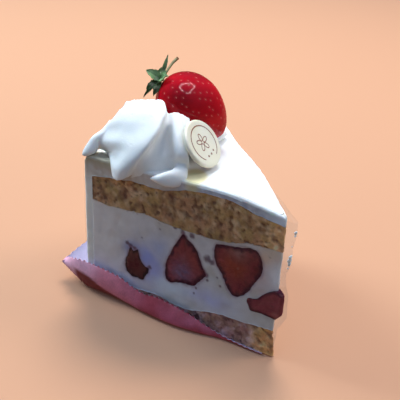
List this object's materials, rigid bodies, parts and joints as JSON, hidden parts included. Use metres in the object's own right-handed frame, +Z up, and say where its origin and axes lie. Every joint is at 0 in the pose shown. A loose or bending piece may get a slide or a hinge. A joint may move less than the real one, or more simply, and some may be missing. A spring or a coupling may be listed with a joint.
{
  "type": "strawberry fraisier cake slice",
  "caption": "Cut wedge of layered strawberry and cream cake with piped cream, a whole strawberry and a chocolate disc on top, in clear film on a pinked paper liner.",
  "frame": {"origin": "on the flat underside of the paper liner, half way along the slice from its tip to its rim", "axes": "+Z up, +X from the rim towards the tip of the slice, -Y towards the cut face that shows"},
  "size_m": [0.1086, 0.0862, 0.1037],
  "materials": {
    "paper": "dusty pink outside, pale lilac inside",
    "film": "clear, glossy, lightly creased",
    "sponge": "open crumb, dry",
    "cream": "whipped cream, soft satin",
    "filling": "whipped cream smeared by the knife",
    "cut_strawberry": "moist cut flesh",
    "strawberry": "glazed, glossy, with pale seeds",
    "leaf": "satin leaf",
    "white_chocolate": "ivory, soft satin, with a fine brown print"
  },
  "bodies": {
    "root": {"paper_liner": "paper", "film_wrap": "film", "sponge_bottom": "sponge", "sponge_top": "sponge", "cream_coat": "cream", "cream_filling": "filling", "cream_swirl": "cream", "berry_front_1": "cut_strawberry", "berry_front_2": "cut_strawberry", "berry_middle": "cut_strawberry", "berry_back_1": "cut_strawberry", "berry_back_2": "cut_strawberry", "berry_tip": "cut_strawberry", "strawberry_top": "strawberry", "strawberry_calyx": "leaf", "white_chocolate_disc": "white_chocolate"}
  },
  "joints": []
}
